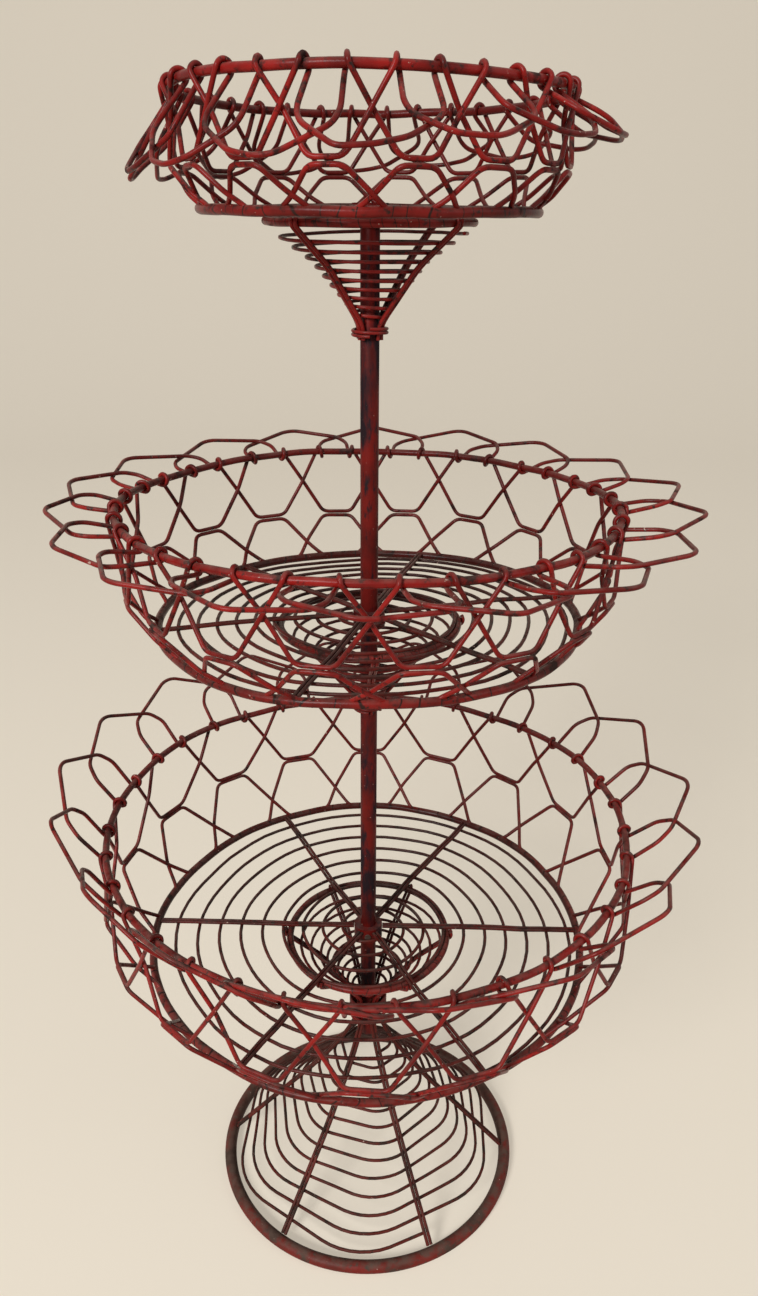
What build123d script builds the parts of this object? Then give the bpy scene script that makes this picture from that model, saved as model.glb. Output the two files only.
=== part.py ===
from build123d import *
import os
from dataclasses import dataclass
from math import cos, hypot, pi, radians, sin

# Three-tier iron-wire stand: three round baskets of woven wire on one column, over a wide wire foot.
# Millimetres. Z is up, the origin is the centre of the base on the ground, and the front faces -Y.
# Azimuths are degrees round the column from the front, growing towards +X.

os.makedirs("parts", exist_ok=True)

# Wire gauges
wall_wire = 2.6
thin_wire = 1.8
spoke_wire = 2.2
rib_wire = 2.3
rim_wire = 4.4
floor_hoop_wire = 5.2
support_ring_wire = 4.8
base_hoop_wire = 8.6

# Fits: the paint film and air left between wires that lie on each other
seat_gap = 0.4
rivet_clearance = 0.06
rod_clearance = 0.15

# Facets of a drawn wire, and how far its corners stand out so that its mean width is the gauge
thin_sides = 4
thick_sides = 6
base_sides = 6
thin_corner_share = 1.12
thick_corner_share = 1.05

# Column
rod_diameter = 10.5
collar_diameter = 19.2
collar_length = 10.5
collar_stand = 3.5
rod_joint_depth = 4.0
top_rod_stand = 1.0
rivet_diameter = 2.4
rivet_depth = 1.5
rivet_head_diameter = 4.2
rivet_head_thickness = 0.9

# Foot
base_hoop_radius = 105.0
foot_knee_radius = 41.0
foot_knee_height = 74.0
foot_waist_radius = 17.5
foot_waist_depth = 20.0
foot_rib_pairs = 6
foot_rib_azimuth = 25.0
foot_spiral_turns = 12
foot_spiral_depth = 16.0
foot_flat_share = 0.66
base_hoop_runs = 30

# Neck, measured down from the lowest floor: the ribs of the foot and of the cone lie on the post here
foot_rib_top_depth = 59.0
foot_neck_depth = 85.0
foot_post_depth = 93.0

# Neck bindings
binding_pitch = 2.5
neck_binding_turns = 4
neck_foot_binding_turns = 2

# Inverted cone under each floor: where its ribs leave the support ring, bend and meet the column
support_ring_radius = 54.0
cone_shoulder_drop = 3.6
cone_knee_radius = 33.0
cone_knee_depth = 26.0
cone_collar_depth = 57.0
cone_spiral_top_depth = 10.5
cone_spiral_foot_depth = 50.0
cone_turns = 9
cone_binding_turns = 2

# Runs that a full turn of each drawn spiral is bent in
floor_spiral_runs = 12
cone_spiral_runs = 8
binding_runs = 8

# Floor: its spiral goes on over the support ring and ends clear of the hub
floor_hub_turns = 3
floor_spiral_end_radius = 13.2
spoke_pairs = 6

# Bottom basket: each belt is measured up from its floor, and each rim up from its belt
bottom_floor_height = 205.0
bottom_floor_radius = 146.0
bottom_belt_rise = 36.0
bottom_belt_radius = 172.0
bottom_rim_rise = 53.0
bottom_rim_radius = 168.0
bottom_petal_length = 47.0

# Middle basket: each floor is measured up from the one below it
middle_floor_rise = 233.0
middle_floor_radius = 125.0
middle_belt_rise = 25.5
middle_belt_radius = 143.5
middle_rim_rise = 43.5
middle_rim_radius = 144.0
middle_petal_length = 42.0

# Top basket
top_floor_rise = 225.0
top_floor_radius = 87.0
top_belt_rise = 19.5
top_belt_radius = 100.5
top_rim_rise = 34.5
top_rim_radius = 100.0
top_petal_length = 39.0

# Places along a basket's wall, as shares of the pitch between neighbouring cells
belt_half_share = 0.20
upper_reach_share = 0.75
lower_reach_share = 0.68
petal_foot_share = 0.66
petal_shoulder_share = 0.64
petal_crown_share = 0.21
petal_shoulder_length_share = 0.60


@dataclass
class Basket:
    """One tier: where its hoops lie, how its wall is divided and how its petals flare."""

    name: str
    floor_height: float
    floor_radius: float
    belt_rise: float
    belt_radius: float
    rim_rise: float
    rim_radius: float
    cells: int
    cell_azimuth: float
    petal_length: float
    petal_rise: float
    floor_turns: float
    spoke_azimuth: float
    cone_azimuth: float
    cone_pairs: int
    ring_runs: int

    def belt_height(self):
        return self.floor_height + self.belt_rise

    def rim_height(self):
        return self.belt_height() + self.rim_rise

    def pitch(self):
        return 360 / self.cells

    def runs(self):
        return 2 * self.cells


bottom = Basket(
    "bottom",
    bottom_floor_height,
    bottom_floor_radius,
    bottom_belt_rise,
    bottom_belt_radius,
    bottom_rim_rise,
    bottom_rim_radius,
    cells=18,
    cell_azimuth=0,
    petal_length=bottom_petal_length,
    petal_rise=42,
    floor_turns=6,
    spoke_azimuth=28,
    cone_azimuth=28,
    cone_pairs=6,
    ring_runs=18,
)
middle = Basket(
    "middle",
    bottom.floor_height + middle_floor_rise,
    middle_floor_radius,
    middle_belt_rise,
    middle_belt_radius,
    middle_rim_rise,
    middle_rim_radius,
    cells=18,
    cell_azimuth=10,
    petal_length=middle_petal_length,
    petal_rise=4,
    floor_turns=6,
    spoke_azimuth=43,
    cone_azimuth=3,
    cone_pairs=4,
    ring_runs=16,
)
top = Basket(
    "top",
    middle.floor_height + top_floor_rise,
    top_floor_radius,
    top_belt_rise,
    top_belt_radius,
    top_rim_rise,
    top_rim_radius,
    cells=16,
    cell_azimuth=11.25,
    petal_length=top_petal_length,
    petal_rise=-43,
    floor_turns=3,
    spoke_azimuth=28,
    cone_azimuth=50,
    cone_pairs=4,
    ring_runs=16,
)


baskets = (bottom, middle, top)


def polar(radius, azimuth, height):
    """The point at this radius and azimuth round the column."""
    turn = radians(azimuth)
    return Vector(radius * sin(turn), -radius * cos(turn), height)


def on_hoop(radius, runs, azimuth, first):
    """Radius of a many-sided hoop's centre line at an azimuth, where first is one of its corners."""
    step = 360 / runs
    inside = (azimuth - first) % step - step / 2
    return radius / cos(radians(inside))


def inset(profile, distance):
    """The same (radius, height) profile, running downwards, moved towards the column."""
    normals = []
    for (upper_radius, upper), (lower_radius, lower) in zip(profile, profile[1:]):
        length = hypot(upper_radius - lower_radius, upper - lower)
        normals.append(((lower - upper) / length, (upper_radius - lower_radius) / length))
    before = normals[:1] + normals
    after = normals + normals[-1:]
    moved = []
    for (radius, height), (r1, z1), (r2, z2) in zip(profile, before, after):
        mitre = distance / (1 + r1 * r2 + z1 * z2)
        moved.append((radius + (r1 + r2) * mitre, height + (z1 + z2) * mitre))
    return moved


def reach(gauge, sides):
    """How far a drawn wire's corners stand from its centre line."""
    share = thin_corner_share if sides == thin_sides else thick_corner_share
    return gauge / 2 * share


def bent_wire(points, gauge, sides=thin_sides):
    """A wire of one gauge bent through these points, with mitred corners."""
    with BuildPart() as wire:
        with BuildLine() as route:
            Polyline(*points)
        with BuildSketch(Plane(origin=route.line @ 0, z_dir=route.line % 0)):
            RegularPolygon(reach(gauge, sides), side_count=sides)
        sweep(transition=Transition.RIGHT)
    return wire.part


def hoop(radius, height, gauge, runs, first, sides=thick_sides):
    """A closed hoop of straight runs whose flats lie on the radius, with a level face underneath."""
    step = 360 / runs
    corner = radius / cos(radians(step / 2))
    corners = [polar(corner, first + step * number, height) for number in range(runs)]
    start = polar(radius, first + step / 2, height)
    along = (corners[1] - corners[0]).normalized()
    outward = (start - Vector(0, 0, height)).normalized()
    with BuildPart() as ring:
        with BuildLine():
            Polyline(*corners, close=True)
        with BuildSketch(Plane(origin=start, x_dir=outward, z_dir=along)):
            RegularPolygon(reach(gauge, sides), side_count=sides, rotation=90 - 180 / sides)
        sweep(transition=Transition.RIGHT)
    return ring.part


def profile_radius(profile, height):
    """Radius at a height on a profile of (radius, height) corners that runs downwards."""
    for (upper_radius, upper), (lower_radius, lower) in zip(profile, profile[1:]):
        if height >= lower:
            share = (upper - height) / (upper - lower)
            return upper_radius + share * (lower_radius - upper_radius)
    return profile[-1][0]


def line_at(start, end, height):
    """The (radius, height) point at a height on the line through two others."""
    share = (height - start[1]) / (end[1] - start[1])
    return (start[0] + share * (end[0] - start[0]), height)


def least_gap(points, runs, gauge):
    """Smallest clear space between one turn of a wound wire and the next, from its corners."""
    nearest = min(
        (points[number + runs] - points[number]).length for number in range(len(points) - runs)
    )
    return nearest * cos(pi / runs) - gauge


def wound_wire(name, points, runs, gauge):
    """One unbroken wound wire, after its least gap to itself is printed."""
    print(name, "least gap", round(least_gap(points, runs, gauge), 2))
    return bent_wire(points, gauge)


def even_bends(runs, first):
    """Azimuths of one turn's corners at even steps."""
    return [first + 360 / runs * number for number in range(runs)]


def greatest_offset(pairs, runs):
    """Largest angle from a rib to the middle of the spiral's run behind it, where one pair has none."""
    step = 360 / runs
    return max(abs((360 / pairs * rib + step / 2) % step - step / 2) for rib in range(pairs))


def cone_winding(profile, turns, bends, corner_share):
    """Corners of a wire wound down a cone at a steady rate, from the profile's top to its foot.

    The bends are the azimuths of one turn's corners. Each corner's radius is the profile's times
    the corner share.
    """
    top_height = profile[0][1]
    drop = top_height - profile[-1][1]
    points = []
    for number in range(round(turns * len(bends)) + 1):
        whole_turns, bend = divmod(number, len(bends))
        azimuth = bends[bend] + 360 * whole_turns
        height = top_height - drop * (azimuth - bends[0]) / (360 * turns)
        points.append(polar(corner_share * profile_radius(profile, height), azimuth, height))
    return points


def pair_offsets(gauge):
    """Sideways places of two wires laid side by side."""
    aside = reach(gauge, thin_sides) + seat_gap / 4
    return (-aside, aside)


def export(piece, name):
    """Labels a finished node and writes it."""
    piece.part.label = name
    export_step(piece.part, f"parts/{name}.step")


# Radii that follow from how the wires lie on each other
rod_radius = rod_diameter / 2
rib_reach = reach(rib_wire, thin_sides)
thin_reach = reach(thin_wire, thin_sides)
wall_reach = reach(wall_wire, thin_sides)
inner_rib_radius = rod_radius + rib_reach + seat_gap
outer_rib_radius = inner_rib_radius + 2 * rib_reach + seat_gap
rib_inset = rib_reach + thin_reach + seat_gap
base_hoop_height = reach(base_hoop_wire, base_sides) * cos(pi / base_sides)
weave_offset = wall_reach + seat_gap / 2


# Foot: base hoop, six pairs of ribs and the spiral inside them
foot_rib_end_gap = reach(base_hoop_wire, base_sides) + seat_gap
foot_slope = hypot(base_hoop_radius - foot_knee_radius, foot_knee_height - base_hoop_height)
foot_end_share = 1 - foot_rib_end_gap / foot_slope
foot_end_radius = foot_knee_radius + (base_hoop_radius - foot_knee_radius) * foot_end_share
foot_end_height = foot_knee_height + (base_hoop_height - foot_knee_height) * foot_end_share
foot_neck_height = bottom.floor_height - foot_neck_depth
foot_profile = [
    (inner_rib_radius, foot_neck_height),
    (foot_waist_radius, foot_neck_height - foot_waist_depth),
    (foot_knee_radius, foot_knee_height),
    (foot_end_radius, foot_end_height),
]
foot_inner_profile = inset(foot_profile, rib_inset)
foot_spiral_top = foot_neck_height - foot_spiral_depth
foot_spiral_low = foot_end_height + rib_inset
foot_spiral_profile = (
    [(profile_radius(foot_inner_profile, foot_spiral_top), foot_spiral_top)]
    + foot_inner_profile[1:-1]
    + [(profile_radius(foot_inner_profile, foot_spiral_low), foot_spiral_low)]
)

base_ring = hoop(
    base_hoop_radius,
    base_hoop_height,
    base_hoop_wire,
    base_hoop_runs,
    foot_rib_azimuth,
    base_sides,
)
with BuildPart() as base_hoop:
    add(base_ring)
export(base_hoop, "base_hoop")

foot_rib_pair = [
    bent_wire(
        [Vector(aside, -inner_rib_radius, bottom.floor_height - foot_rib_top_depth)]
        + [Vector(aside, -radius, height) for radius, height in foot_profile],
        rib_wire,
    )
    for aside in pair_offsets(rib_wire)
]
with BuildPart() as foot_ribs:
    with PolarLocations(0, foot_rib_pairs, start_angle=foot_rib_azimuth):
        add(foot_rib_pair)
export(foot_ribs, "foot_ribs")

foot_pitch = 360 / foot_rib_pairs
foot_flat = foot_flat_share * foot_pitch
foot_bends = [
    foot_rib_azimuth + foot_pitch * rib + foot_flat * side
    for rib in range(foot_rib_pairs)
    for side in (0.5, foot_pitch / foot_flat - 0.5)
]
foot_corner_share = 1 / cos(radians(foot_flat / 2))
foot_winding = cone_winding(
    foot_spiral_profile, foot_spiral_turns, foot_bends, foot_corner_share
)
foot_spiral_wire = wound_wire("foot_spiral", foot_winding, len(foot_bends), thin_wire)
with BuildPart() as foot_spiral:
    add(foot_spiral_wire)
export(foot_spiral, "foot_spiral")


# Column: a post in the neck and two rods, which meet inside the hub collars
def joint_height(basket):
    """Height at which two lengths of the column meet inside a basket's hub collar."""
    return basket.floor_height - rod_joint_depth


def rivet_plane(basket):
    """Plane across a basket's hub, whose normal is the axis of its rivet, between two spokes."""
    direction = polar(1, basket.spoke_azimuth - 180 / spoke_pairs, 0)
    return Plane(origin=(0, 0, basket.floor_height - rivet_depth), z_dir=direction)


def column_length(name, bottom_height, top_height, drilled):
    """One round length of the column, drilled across for the rivets of some hubs."""
    with BuildPart() as length:
        with Locations((0, 0, (bottom_height + top_height) / 2)):
            Cylinder(rod_radius, top_height - bottom_height)
        for hub in drilled:
            with Locations(rivet_plane(hub)):
                Cylinder(
                    rivet_diameter / 2 + rivet_clearance, 2 * rod_diameter, mode=Mode.SUBTRACT
                )
    export(length, name)


column_length("foot_post", bottom.floor_height - foot_post_depth, joint_height(bottom), ())
column_length("lower_rod", joint_height(bottom), joint_height(middle), (bottom,))
column_length("upper_rod", joint_height(middle), top.floor_height + top_rod_stand, ())

# Hub collars: short ferrules round the column, one at each floor
with BuildPart() as hub_collars:
    for tier in baskets:
        collar_middle = tier.floor_height + collar_stand - collar_length / 2
        with Locations((0, 0, collar_middle)):
            Cylinder(collar_diameter / 2, collar_length)
            Cylinder(rod_radius + rod_clearance, collar_length, mode=Mode.SUBTRACT)
    with Locations(rivet_plane(bottom)):
        Cylinder(rivet_diameter / 2 + rivet_clearance, 2 * collar_diameter, mode=Mode.SUBTRACT)
export(hub_collars, "hub_collars")

# Rivet of the lowest hub: a shank through collar and rod, with a flat head at each end
head_middle = collar_diameter / 2 + rivet_head_thickness / 2 + rivet_clearance
with BuildPart() as hub_rivet:
    with Locations(rivet_plane(bottom)):
        Cylinder(rivet_diameter / 2, 2 * head_middle)
    for side in (-1, 1):
        with Locations(rivet_plane(bottom).offset(side * head_middle)):
            Cylinder(rivet_head_diameter / 2, rivet_head_thickness)
export(hub_rivet, "hub_rivet")


# Bindings: tight coils that hold the ribs against the column
def binding(name, radius, top_height, turns):
    """A short coil of thin wire wound round the column at one radius."""
    profile = [(radius, top_height), (radius, top_height - binding_pitch * turns)]
    winding = cone_winding(
        profile, turns, even_bends(binding_runs, 0), 1 / cos(pi / binding_runs)
    )
    coil = wound_wire(name, winding, binding_runs, thin_wire)
    with BuildPart() as node:
        add(coil)
    export(node, name)


neck_top = bottom.floor_height - cone_collar_depth - binding_pitch
neck_binding_radius = outer_rib_radius + rib_inset
binding("neck_binding", neck_binding_radius, neck_top, neck_binding_turns)
neck_foot_top = neck_top - binding_pitch * (neck_binding_turns + 1)
binding("neck_foot_binding", neck_binding_radius, neck_foot_top, neck_foot_binding_turns)
for tier in (middle, top):
    tier_binding_top = tier.floor_height - cone_collar_depth - thin_reach - seat_gap
    tier_binding_radius = inner_rib_radius + rib_inset
    binding(f"{tier.name}_cone_binding", tier_binding_radius, tier_binding_top, cone_binding_turns)

# Heights in a floor, from its hoop's centre: spokes on top, then the spiral, then the support ring
spoke_stand = reach(spoke_wire, thin_sides)
spiral_drop = thin_reach + seat_gap
ring_reach = reach(support_ring_wire, thick_sides)
ring_drop = spiral_drop + thin_reach + ring_reach + seat_gap


def build_cone(basket, rib_radius, rib_bottom):
    """The inverted cone under a floor: support ring, pairs of ribs and the spiral inside them."""
    name = basket.name
    ring_height = basket.floor_height - ring_drop
    ring = hoop(
        support_ring_radius,
        ring_height,
        support_ring_wire,
        basket.ring_runs,
        basket.cone_azimuth - 180 / basket.ring_runs,
    )
    with BuildPart() as support_ring:
        add(ring)
    export(support_ring, f"{name}_support_ring")

    outside_ring = support_ring_radius + ring_reach + rib_reach + seat_gap
    corners = [
        (outside_ring, ring_height),
        (outside_ring, ring_height - cone_shoulder_drop),
        (cone_knee_radius, basket.floor_height - cone_knee_depth),
        (rib_radius, basket.floor_height - cone_collar_depth),
        (rib_radius, rib_bottom),
    ]
    rib_pair = [
        bent_wire([Vector(aside, -radius, height) for radius, height in corners], rib_wire)
        for aside in pair_offsets(rib_wire)
    ]
    with BuildPart() as cone_ribs:
        with PolarLocations(0, basket.cone_pairs, start_angle=basket.cone_azimuth):
            add(rib_pair)
    export(cone_ribs, f"{name}_cone_ribs")

    off_middle = radians(greatest_offset(basket.cone_pairs, cone_spiral_runs))
    pair_reach = max(pair_offsets(rib_wire)) + rib_reach
    inside = inset(corners[1:4], rib_inset + pair_reach * sin(off_middle))
    spiral_top = basket.floor_height - cone_spiral_top_depth
    spiral_foot = basket.floor_height - cone_spiral_foot_depth
    profile = [
        line_at(inside[0], inside[1], spiral_top),
        inside[1],
        line_at(inside[1], inside[2], spiral_foot),
    ]
    bends = even_bends(cone_spiral_runs, basket.cone_azimuth + 180 / cone_spiral_runs)
    corner_share = cos(off_middle) / cos(pi / cone_spiral_runs)
    winding = cone_winding(profile, cone_turns, bends, corner_share)
    spiral_wire = wound_wire(f"{name}_cone_spiral", winding, cone_spiral_runs, thin_wire)
    with BuildPart() as cone_spiral:
        add(spiral_wire)
    export(cone_spiral, f"{name}_cone_spiral")


def build_floor(basket):
    """The floor: its hoop, the flat spiral and pairs of spokes laid over it."""
    name = basket.name
    first = basket.cell_azimuth
    ring = hoop(
        basket.floor_radius, basket.floor_height, floor_hoop_wire, basket.runs(), first
    )
    with BuildPart() as floor_hoop:
        add(ring)
    export(floor_hoop, f"{name}_floor_hoop")

    hoop_inside = basket.floor_radius - reach(floor_hoop_wire, thick_sides)
    outer = hoop_inside - thin_reach - seat_gap
    step = 360 / floor_spiral_runs
    spiral_height = basket.floor_height - spiral_drop
    ring_turn = basket.floor_turns
    hub_turn = ring_turn + floor_hub_turns
    winding = []
    for number in range(round(hub_turn * floor_spiral_runs) + 1):
        turn = number / floor_spiral_runs
        if turn < ring_turn:
            radius = outer + (support_ring_radius - outer) * turn / ring_turn
        else:
            inner_share = (turn - ring_turn) / floor_hub_turns
            hub_reach = support_ring_radius - floor_spiral_end_radius
            radius = support_ring_radius - hub_reach * inner_share
        winding.append(polar(radius, basket.spoke_azimuth + step * number, spiral_height))
    spiral_wire = wound_wire(f"{name}_floor_spiral", winding, floor_spiral_runs, thin_wire)
    with BuildPart() as floor_spiral:
        add(spiral_wire)
    export(floor_spiral, f"{name}_floor_spiral")

    inner_end = collar_diameter / 2 + seat_gap
    outer_end = hoop_inside - seat_gap
    spoke_height = basket.floor_height + spoke_stand
    spoke_pair = [
        bent_wire(
            [Vector(aside, -inner_end, spoke_height), Vector(aside, -outer_end, spoke_height)],
            spoke_wire,
        )
        for aside in pair_offsets(spoke_wire)
    ]
    with BuildPart() as spokes:
        with PolarLocations(0, spoke_pairs, start_angle=basket.spoke_azimuth):
            add(spoke_pair)
    export(spokes, f"{name}_spokes")


def hoop_flat(gauge):
    """How far a hoop's level faces lie from its centre line."""
    return reach(gauge, thick_sides) * cos(pi / thick_sides)


def wall_cell(basket, end_radius, end_face, end_azimuth, side):
    """One bent wire of a wall: along the belt, then out to a hoop above (1) or below it (-1)."""
    belt_azimuth = belt_half_share * basket.pitch()
    belt_height = basket.belt_height() + side * (wall_reach + seat_gap / 2)
    slope = hypot(end_radius - basket.belt_radius, end_face - belt_height)
    weave = weave_offset * slope / abs(end_face - belt_height)
    aside = polar(end_radius, end_azimuth, 0) - polar(basket.belt_radius, belt_azimuth, 0)
    tilt = aside.length / hypot(aside.length, end_face - belt_height)
    end_height = end_face - side * wall_reach * tilt
    return bent_wire(
        [
            polar(end_radius - weave, -end_azimuth, end_height),
            polar(basket.belt_radius - weave, -belt_azimuth, belt_height),
            polar(basket.belt_radius + weave, belt_azimuth, belt_height),
            polar(end_radius + weave, end_azimuth, end_height),
        ],
        wall_wire,
    )


def build_wall(basket):
    """The wall: rim hoop, and two rows of bent wires that lie belt to belt and cross their neighbours."""
    name = basket.name
    pitch = basket.pitch()
    first = basket.cell_azimuth
    rim_ring = hoop(
        basket.rim_radius, basket.rim_height(), rim_wire, basket.runs(), first
    )
    with BuildPart() as rim_hoop:
        add(rim_ring)
    export(rim_hoop, f"{name}_rim_hoop")

    rim_at_end = on_hoop(basket.rim_radius, basket.runs(), upper_reach_share * pitch, 0)
    rim_under = basket.rim_height() - hoop_flat(rim_wire) - seat_gap
    upper_cell = wall_cell(basket, rim_at_end, rim_under, upper_reach_share * pitch, 1)
    with BuildPart() as upper_wires:
        with PolarLocations(0, basket.cells, start_angle=first):
            add(upper_cell)
    export(upper_wires, f"{name}_upper_wires")

    floor_at_end = on_hoop(basket.floor_radius, basket.runs(), lower_reach_share * pitch, 0)
    floor_over = basket.floor_height + hoop_flat(floor_hoop_wire) + seat_gap
    lower_cell = wall_cell(basket, floor_at_end, floor_over, lower_reach_share * pitch, -1)
    with BuildPart() as lower_wires:
        with PolarLocations(0, basket.cells, start_angle=first):
            add(lower_cell)
    export(lower_wires, f"{name}_lower_wires")


def build_petals(basket):
    """The scalloped edge: each petal passes under the rim, hooks up inside it and crosses its neighbours."""
    pitch = basket.pitch()
    rise = radians(basket.petal_rise)
    hook = reach(rim_wire, thick_sides) + wall_reach + seat_gap

    def flared(share, length, drop):
        """A point at a share of the pitch, a length out along the flare and a drop below it."""
        at_share = on_hoop(basket.rim_radius, basket.runs(), share * pitch, pitch / 2)
        radius = at_share + length * cos(rise) + (hook + drop) * sin(rise)
        height = basket.rim_height() + length * sin(rise) - (hook + drop) * cos(rise)
        return polar(radius, share * pitch, height)

    crown = basket.petal_length
    shoulder = petal_shoulder_length_share * crown
    petal = bent_wire(
        [
            flared(-petal_foot_share, -hook, -2 * hook),
            flared(-petal_foot_share, -hook, 0),
            flared(-petal_shoulder_share, shoulder, 2 * weave_offset),
            flared(-petal_crown_share, crown, 2 * weave_offset),
            flared(petal_crown_share, crown, 0),
            flared(petal_shoulder_share, shoulder, 0),
            flared(petal_foot_share, -hook, 0),
            flared(petal_foot_share, -hook, -2 * hook),
        ],
        wall_wire,
    )
    with BuildPart() as petals:
        with PolarLocations(0, basket.cells, start_angle=basket.cell_azimuth + pitch / 2):
            add(petal)
    export(petals, f"{basket.name}_petals")


for tier in baskets:
    build_floor(tier)
    build_wall(tier)
    build_petals(tier)

rib_bottom_depth = cone_collar_depth + binding_pitch * (cone_binding_turns + 1)
for tier in (middle, top):
    build_cone(tier, inner_rib_radius, tier.floor_height - rib_bottom_depth)
build_cone(bottom, outer_rib_radius, foot_neck_height)
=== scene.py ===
"""Dresses the three-tier wire stand: round drawn wire, bent by hand, in worn crimson paint.

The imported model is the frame. Each wire piece made here stands in the place of its CAD nodes and
follows the same sizes, in millimetres, with the origin on the ground under the column.
Azimuths are degrees round the column from the front (-Y), growing towards +X.
"""

import logging
from dataclasses import dataclass
from enum import Enum
from math import cos, gcd, hypot, radians, sin, tau

import bpy
from mathutils import Matrix, Vector, noise

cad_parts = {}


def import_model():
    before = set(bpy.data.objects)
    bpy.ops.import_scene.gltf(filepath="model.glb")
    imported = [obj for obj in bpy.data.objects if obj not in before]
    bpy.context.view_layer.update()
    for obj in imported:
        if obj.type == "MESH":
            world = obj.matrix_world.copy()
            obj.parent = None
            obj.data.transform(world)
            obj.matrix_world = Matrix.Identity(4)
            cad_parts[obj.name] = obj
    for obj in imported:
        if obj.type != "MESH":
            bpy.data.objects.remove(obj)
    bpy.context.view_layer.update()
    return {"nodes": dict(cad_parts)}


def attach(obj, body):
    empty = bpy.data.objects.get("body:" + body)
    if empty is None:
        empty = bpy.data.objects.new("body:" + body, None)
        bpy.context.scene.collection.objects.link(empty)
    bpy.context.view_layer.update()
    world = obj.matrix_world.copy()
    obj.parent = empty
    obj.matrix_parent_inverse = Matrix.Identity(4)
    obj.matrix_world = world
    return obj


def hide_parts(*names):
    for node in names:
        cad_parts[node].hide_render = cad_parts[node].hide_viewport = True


log = logging.getLogger("wire_stand")

MM = 0.001
BODY = "root"
NOISE_SEED = 6

# Millimetres left between wires that lie on each other
SEAT = 0.1

# Where the wall's wires bend, in cells from the middle of the stretch that lies along the belt
BELT_END = 0.2
CROSSING = 0.5
RIM_LEG_END = 0.75
RIM_TURN_START = 0.74
RIM_TURN_SLIP = 0.06
PETAL_MIDDLE = 1.5
PERIOD = 3
FLOOR_LEG_END = 0.68
FLOOR_TURN = 0.67
FLOOR_END = 0.76

# How far before and after a corner a wire's bend reaches, in millimetres
WALL_BEND = 3.9
PAIR_BEND = 7.0
FOOT_BEND = 16.0


class Slot(Enum):
    """Material slot names of the record, which no piece here is given."""

    RED = "red_paint"
    WORN = "worn_paint"


class Facets(Enum):
    """Bevel resolution of a drawn wire's round section."""

    THIN = 2
    THICK = 5


def polar(radius: float, azimuth: float, height: float) -> Vector:
    """Place a point round the column.

    Args:
        radius: Distance from the column's axis.
        azimuth: Degrees from the front, growing towards +X.
        height: Height above the ground.

    Returns:
        The point, in millimetres.
    """
    turn = radians(azimuth)
    return Vector((radius * sin(turn), -radius * cos(turn), height))


def between(low: float, high: float, value: float) -> float:
    """Give how far a value lies from low to high, held between 0 and 1."""
    return min(max((value - low) / (high - low), 0.0), 1.0)


@dataclass(frozen=True)
class HandBend:
    """The small unevenness of wire bent by hand, as one smooth shift of the space round the column.

    Wires that lie on each other shift together, so they stay in touch.
    """

    long_wave: float = 95.0
    long_shift: float = 2.2
    short_wave: float = 26.0
    short_shift: float = 0.6
    still_radius: float = 16.0
    free_radius: float = 60.0
    still_height: float = 10.0
    free_height: float = 45.0

    def apply(self, point: Vector) -> Vector:
        """Shift one point.

        Args:
            point: The point of a perfect wire, in millimetres.

        Returns:
            The point of the bent wire.
        """
        radius = hypot(point.x, point.y)
        free = between(self.still_radius, self.free_radius, radius)
        free *= between(self.still_height, self.free_height, point.z)
        slow = noise.noise_vector(point / self.long_wave) * self.long_shift
        quick = noise.noise_vector(point / self.short_wave) * self.short_shift
        return point + (slow + quick) * free


HAND = HandBend()


@dataclass
class Route:
    """The centre line of one wire."""

    points: list[Vector]
    closed: bool = False

    def bent(self) -> "Route":
        """Give the route with the unevenness of hand bending."""
        return Route([HAND.apply(point) for point in self.points], self.closed)


def rounded(corners: list[Vector], bend: float, closed: bool = False, steps: int = 5) -> Route:
    """Turn a run of corners into a wire's smooth line.

    Args:
        corners: The corners, in order.
        bend: How far before and after a corner its bend reaches, at most.
        closed: Whether the last corner joins the first.
        steps: Points in each bend.

    Returns:
        The smooth route.
    """
    count = len(corners)
    points: list[Vector] = []
    for number, corner in enumerate(corners):
        if not closed and number in (0, count - 1):
            points.append(corner)
            continue
        before = corners[number - 1] - corner
        after = corners[(number + 1) % count] - corner
        start = corner + before * min(bend / before.length, 0.5)
        end = corner + after * min(bend / after.length, 0.5)
        for step in range(steps):
            share = step / (steps - 1)
            first = start.lerp(corner, share)
            points.append(first.lerp(corner.lerp(end, share), share))
    return Route(points, closed)


def draw(name: str, routes: list[Route], gauge: float, facets: Facets) -> bpy.types.Object:
    """Draw wires of one gauge as one smooth mesh.

    Args:
        name: Name of the piece.
        routes: Centre lines, in millimetres.
        gauge: The wire's diameter.
        facets: How round the section is.

    Returns:
        The mesh object, with its origin at the frame's.
    """
    bpy.ops.object.select_all(action="DESELECT")
    bpy.ops.curve.primitive_nurbs_path_add(location=(0, 0, 0))
    piece = bpy.context.object
    piece.name = name
    curve = piece.data
    curve.splines.clear()
    for route in routes:
        spline = curve.splines.new("POLY")
        spline.points.add(len(route.points) - 1)
        for place, point in zip(spline.points, route.points):
            place.co = (*(point * MM), 1)
        spline.use_cyclic_u = route.closed
    curve.twist_mode = "MINIMUM"
    curve.bevel_depth = gauge / 2 * MM
    curve.bevel_resolution = facets.value
    curve.use_fill_caps = True
    bpy.ops.object.convert(target="MESH")
    bpy.ops.object.shade_smooth_by_angle(angle=radians(50))
    return piece


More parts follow.
